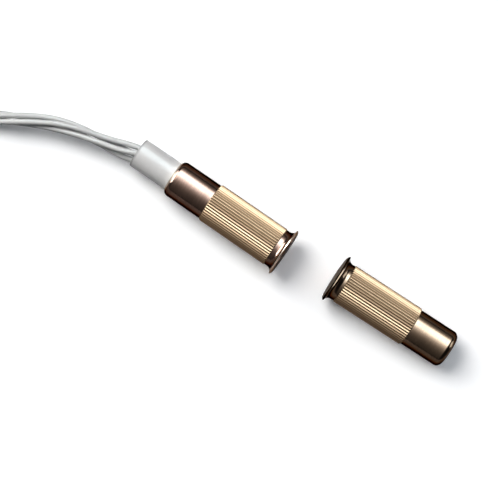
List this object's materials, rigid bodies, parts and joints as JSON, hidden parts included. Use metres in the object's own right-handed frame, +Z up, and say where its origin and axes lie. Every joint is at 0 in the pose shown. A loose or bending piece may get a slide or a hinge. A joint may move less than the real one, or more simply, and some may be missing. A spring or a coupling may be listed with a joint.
{
  "type": "recessed magnetic contact",
  "caption": "Recessed door contact: a reed switch in a knurled, flanged brass barrel on a wire lead, and a matching magnet barrel.",
  "frame": {"origin": "middle of the footprint of the two barrels, on the surface they lie on", "axes": "+X along the switch barrel towards the magnet barrel, +Z up, +Y to the left of +X seen from above"},
  "size_m": [0.2172, 0.0264, 0.0125],
  "materials": {
    "barrel_brass": "turned brass: knurl bright, smooth sections burnished dark bronze",
    "carrier_plastic": "pale grey-white moulded plastic, semi-gloss",
    "capsule_glass": "clear greenish glass",
    "reed_alloy": "tinned nickel-iron wire",
    "blade_plating": "plated nickel-iron blades",
    "solder": "satin solder",
    "copper": "bare copper",
    "wire_insulation": "white insulation, semi-gloss",
    "sleeving": "black shrink sleeve",
    "potting_resin": "cast resin, slightly uneven",
    "magnet_alloy": "ground magnet alloy",
    "tie_nylon": "natural nylon",
    "tinned_copper": "tinned strands"
  },
  "bodies": {
    "switch_half": {"switch_barrel": "barrel_brass", "carrier_tube": "carrier_plastic", "glass_capsule": "capsule_glass", "front_reed_lead": "reed_alloy", "rear_reed_lead": "reed_alloy", "return_wire": "copper", "return_sleeve": "sleeving", "front_solder": "solder", "rear_solder": "solder", "return_solder": "solder", "loop_splice": "solder", "switch_potting": "potting_resin", "wire_1": "wire_insulation", "wire_2": "wire_insulation", "wire_3": "wire_insulation", "wire_4": "wire_insulation", "core_1": "copper", "core_2": "copper", "core_3": "copper", "core_4": "copper", "lead_bundle": "wire_insulation", "lead_hank": "wire_insulation", "hank_tie": "tie_nylon", "tinned_ends": "tinned_copper"},
    "front_blade": {"front_reed_blade": "blade_plating"},
    "rear_blade": {"rear_reed_blade": "blade_plating"},
    "magnet_half": {"magnet_barrel": "barrel_brass", "magnet_rod": "magnet_alloy", "magnet_plug": "potting_resin"}
  },
  "joints": [
    {"name": "magnet_travel", "type": "slide", "parent": "switch_half", "child": "magnet_half", "axis": [1, 0, 0], "range_m": [-0.0102, 0.03]},
    {"name": "front_blade_flex", "type": "hinge", "parent": "switch_half", "child": "front_blade", "pos_m": [-0.01422, -0.00056, 0.00567], "axis": [0, -1, 0], "range_deg": [0, 0.6], "stiffness_Nm_per_rad": 0.00001},
    {"name": "rear_blade_flex", "type": "hinge", "parent": "switch_half", "child": "rear_blade", "pos_m": [-0.02461, -0.00056, 0.00518], "axis": [0, -1, 0], "range_deg": [0, 0.6], "stiffness_Nm_per_rad": 0.00001}
  ],
  "couplings": [
    {"joint": "rear_blade_flex", "follows": "front_blade_flex", "ratio": 1}
  ]
}
